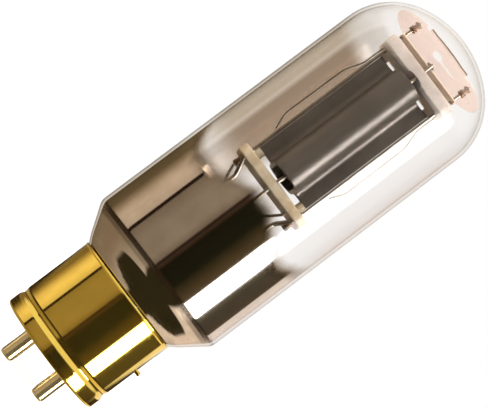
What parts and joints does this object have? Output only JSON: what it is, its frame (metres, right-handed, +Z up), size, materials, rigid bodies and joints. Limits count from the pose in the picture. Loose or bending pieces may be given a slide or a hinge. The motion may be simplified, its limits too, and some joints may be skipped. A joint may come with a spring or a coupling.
{
  "type": "vacuum tube",
  "caption": "Large glass power triode: getter-mirrored bulb with a graphite anode cage between ceramic plates, on a gold-plated bayonet base with contact pins.",
  "frame": {"origin": "on the tube's axis at the seating face, the bottom of the base; the contact pins reach below it", "axes": "+Z up the axis from the base to the dome; +X towards the bayonet pin; the flat sides of the anode's wings face -Y and +Y"},
  "size_m": [0.0562, 0.0562, 0.1704],
  "materials": {
    "gold_plate": "polished gold plate over brass",
    "gold_pins": "polished gold plate over brass",
    "base_ceramic": "unglazed white steatite",
    "cement": "set basing cement, matte",
    "clear_glass": "clear blown glass",
    "stem_glass": "pressed lead glass",
    "getter_mirror": "barium mirror with a smoky edge",
    "white_ceramic": "unglazed cream ceramic",
    "graphite": "satin machined graphite",
    "spring_copper": "heat-tinted copper alloy strip",
    "mica": "split mica, translucent",
    "tungsten": "drawn tungsten and molybdenum wire",
    "lead_wire": "drawn nickel wire",
    "nickel": "drawn and stamped nickel"
  },
  "bodies": {
    "tube": {"anode": "graphite", "anode_bracket_left": "nickel", "anode_bracket_right": "nickel", "anode_lead": "lead_wire", "anode_spacer_left": "white_ceramic", "anode_spacer_right": "white_ceramic", "base_cement": "cement", "base_insulator": "base_ceramic", "base_shell": "gold_plate", "bayonet_pin": "gold_plate", "collar_bolt": "nickel", "contact_pin_1": "gold_pins", "contact_pin_2": "gold_pins", "contact_pin_3": "gold_pins", "contact_pin_4": "gold_pins", "exhaust_tube": "stem_glass", "filament": "tungsten", "filament_anchor": "tungsten", "filament_lead_a": "lead_wire", "filament_lead_b": "lead_wire", "getter_cup_left": "nickel", "getter_cup_right": "nickel", "getter_film": "getter_mirror", "getter_wire_left": "nickel", "getter_wire_right": "nickel", "glass_bulb": "clear_glass", "glass_stem": "stem_glass", "grid_lead": "lead_wire", "grid_rod_front": "nickel", "grid_rod_rear": "nickel", "grid_strap": "nickel", "grid_winding": "tungsten", "lower_ceramic": "white_ceramic", "mica_eyelets": "nickel", "post_end_nuts": "nickel", "side_bow_wire_left": "nickel", "side_bow_wire_right": "nickel", "side_post_left": "nickel", "side_post_right": "nickel", "stem_collar": "nickel", "support_rod_left_front": "nickel", "support_rod_left_rear": "nickel", "support_rod_right_front": "nickel", "support_rod_right_rear": "nickel", "tension_spring_left": "spring_copper", "tension_spring_right": "spring_copper", "top_mica": "mica", "upper_ceramic": "white_ceramic", "upper_post_collars": "nickel"},
    "filament_tensioner": {"filament_yoke": "tungsten"}
  },
  "joints": [
    {"name": "filament_take_up", "type": "slide", "parent": "tube", "child": "filament_tensioner", "axis": [0, 0, 1], "range_m": [0, 0.0006], "stiffness_N_per_m": 400, "deforming": ["filament", "tension_spring_left", "tension_spring_right"]}
  ]
}
